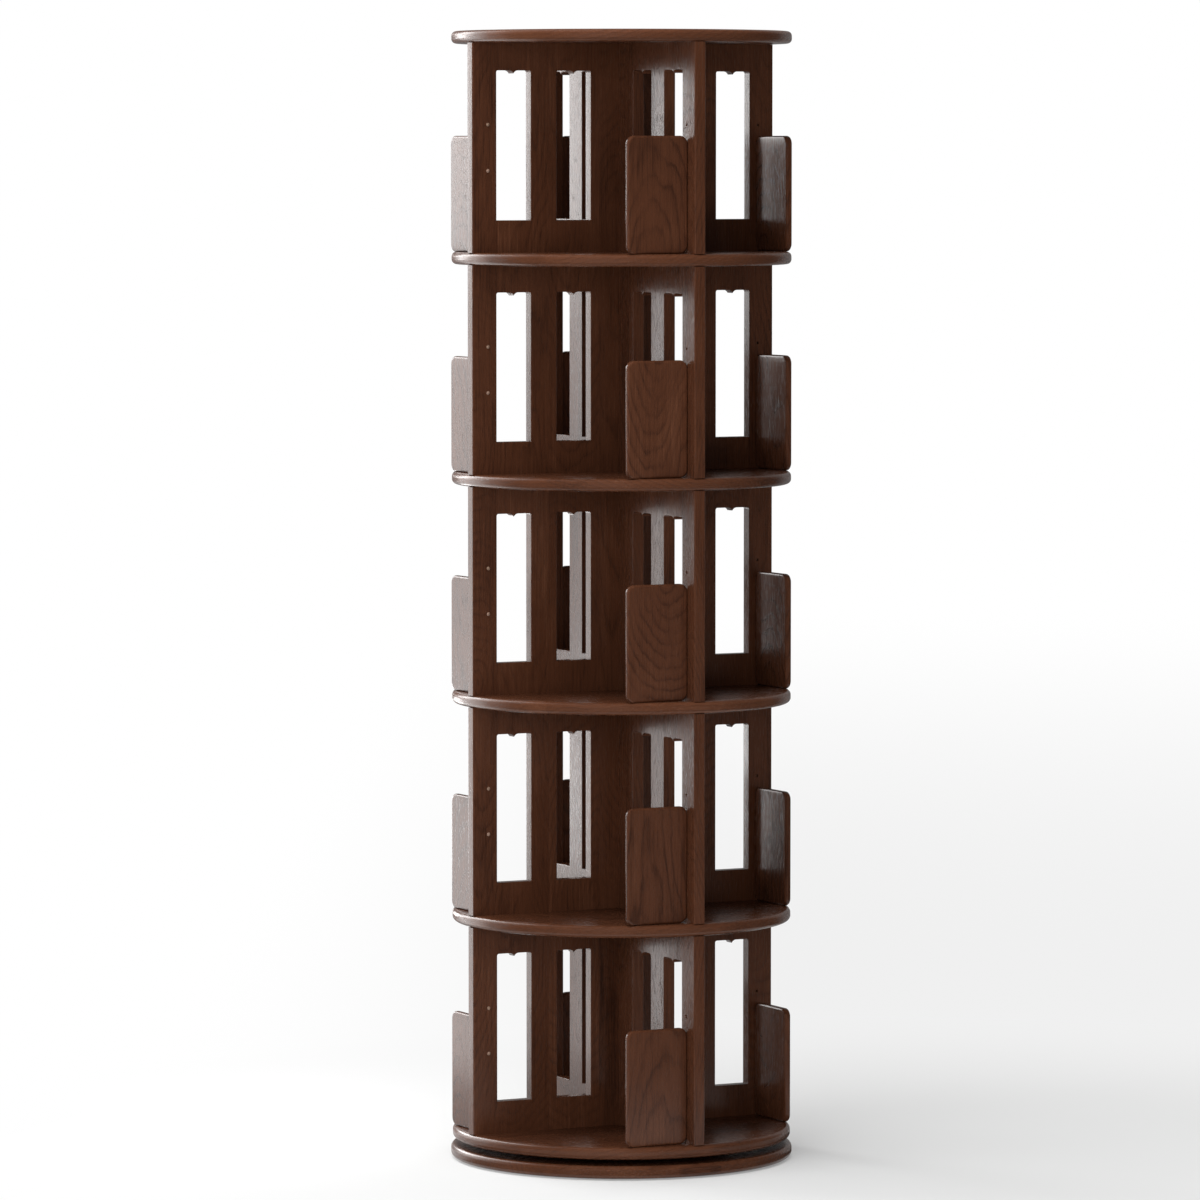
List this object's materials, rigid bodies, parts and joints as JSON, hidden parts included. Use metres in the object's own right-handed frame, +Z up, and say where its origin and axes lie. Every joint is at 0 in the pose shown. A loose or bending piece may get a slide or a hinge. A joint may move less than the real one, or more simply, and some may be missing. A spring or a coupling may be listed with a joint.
{
  "type": "revolving bookcase",
  "caption": "Tall revolving bookcase: a column of round shelves with crossed, windowed dividers and book stops, turning on a ball-bearing base.",
  "frame": {"origin": "centre of the footprint, on the floor, on the axis that the column turns about", "axes": "+Z up along the turning axis; the two dividers of each tier lie along X and Y"},
  "size_m": [0.5049, 0.505, 1.6625],
  "materials": {
    "base_wood": "satin dark walnut stain",
    "disc_wood": "satin dark walnut stain",
    "divider_wood": "satin dark walnut stain",
    "stop_wood": "satin dark walnut stain, upright grain",
    "dowel_wood": "plain beech",
    "ring_steel": "zinc plated",
    "screw_steel": "zinc plated",
    "ball_steel": "polished",
    "cage_nylon": "natural nylon",
    "screw_head": "nickel, satin",
    "hole_plug": "pale brown, satin",
    "pad_felt": "matt, non-slip"
  },
  "bodies": {
    "base": {"foot_pads": "pad_felt", "base_disc": "base_wood", "bearing_base_ring": "ring_steel", "base_ring_screws": "screw_steel"},
    "cage": {"bearing_cage": "cage_nylon", "bearing_balls": "ball_steel"},
    "turntable": {"bearing_turning_ring": "ring_steel", "turning_ring_screws": "screw_steel", "bottom_disc": "disc_wood", "shelf_1": "disc_wood", "shelf_2": "disc_wood", "shelf_3": "disc_wood", "shelf_4": "disc_wood", "top_disc": "disc_wood", "divider_x_1": "divider_wood", "divider_y_1": "divider_wood", "divider_x_2": "divider_wood", "divider_y_2": "divider_wood", "divider_x_3": "divider_wood", "divider_y_3": "divider_wood", "divider_x_4": "divider_wood", "divider_y_4": "divider_wood", "divider_x_5": "divider_wood", "divider_y_5": "divider_wood", "book_stop_1a": "stop_wood", "book_stop_1b": "stop_wood", "book_stop_1c": "stop_wood", "book_stop_1d": "stop_wood", "book_stop_2a": "stop_wood", "book_stop_2b": "stop_wood", "book_stop_2c": "stop_wood", "book_stop_2d": "stop_wood", "book_stop_3a": "stop_wood", "book_stop_3b": "stop_wood", "book_stop_3c": "stop_wood", "book_stop_3d": "stop_wood", "book_stop_4a": "stop_wood", "book_stop_4b": "stop_wood", "book_stop_4c": "stop_wood", "book_stop_4d": "stop_wood", "book_stop_5a": "stop_wood", "book_stop_5b": "stop_wood", "book_stop_5c": "stop_wood", "book_stop_5d": "stop_wood", "stop_screws_1": "screw_head", "hole_plugs_1": "hole_plug", "stop_screws_2": "screw_head", "hole_plugs_2": "hole_plug", "stop_screws_3": "screw_head", "hole_plugs_3": "hole_plug", "stop_screws_4": "screw_head", "hole_plugs_4": "hole_plug", "stop_screws_5": "screw_head", "hole_plugs_5": "hole_plug", "stop_dowels": "dowel_wood", "divider_dowels": "dowel_wood", "divider_screws": "screw_steel"}
  },
  "joints": [
    {"name": "column_turn", "type": "hinge", "parent": "base", "child": "turntable", "pos_m": [0, 0, 0.02525], "axis": [0, 0, 1], "continuous": true},
    {"name": "cage_turn", "type": "hinge", "parent": "base", "child": "cage", "pos_m": [0, 0, 0.02525], "axis": [0, 0, 1], "continuous": true}
  ],
  "couplings": [
    {"joint": "cage_turn", "follows": "column_turn", "ratio": 0.5}
  ]
}
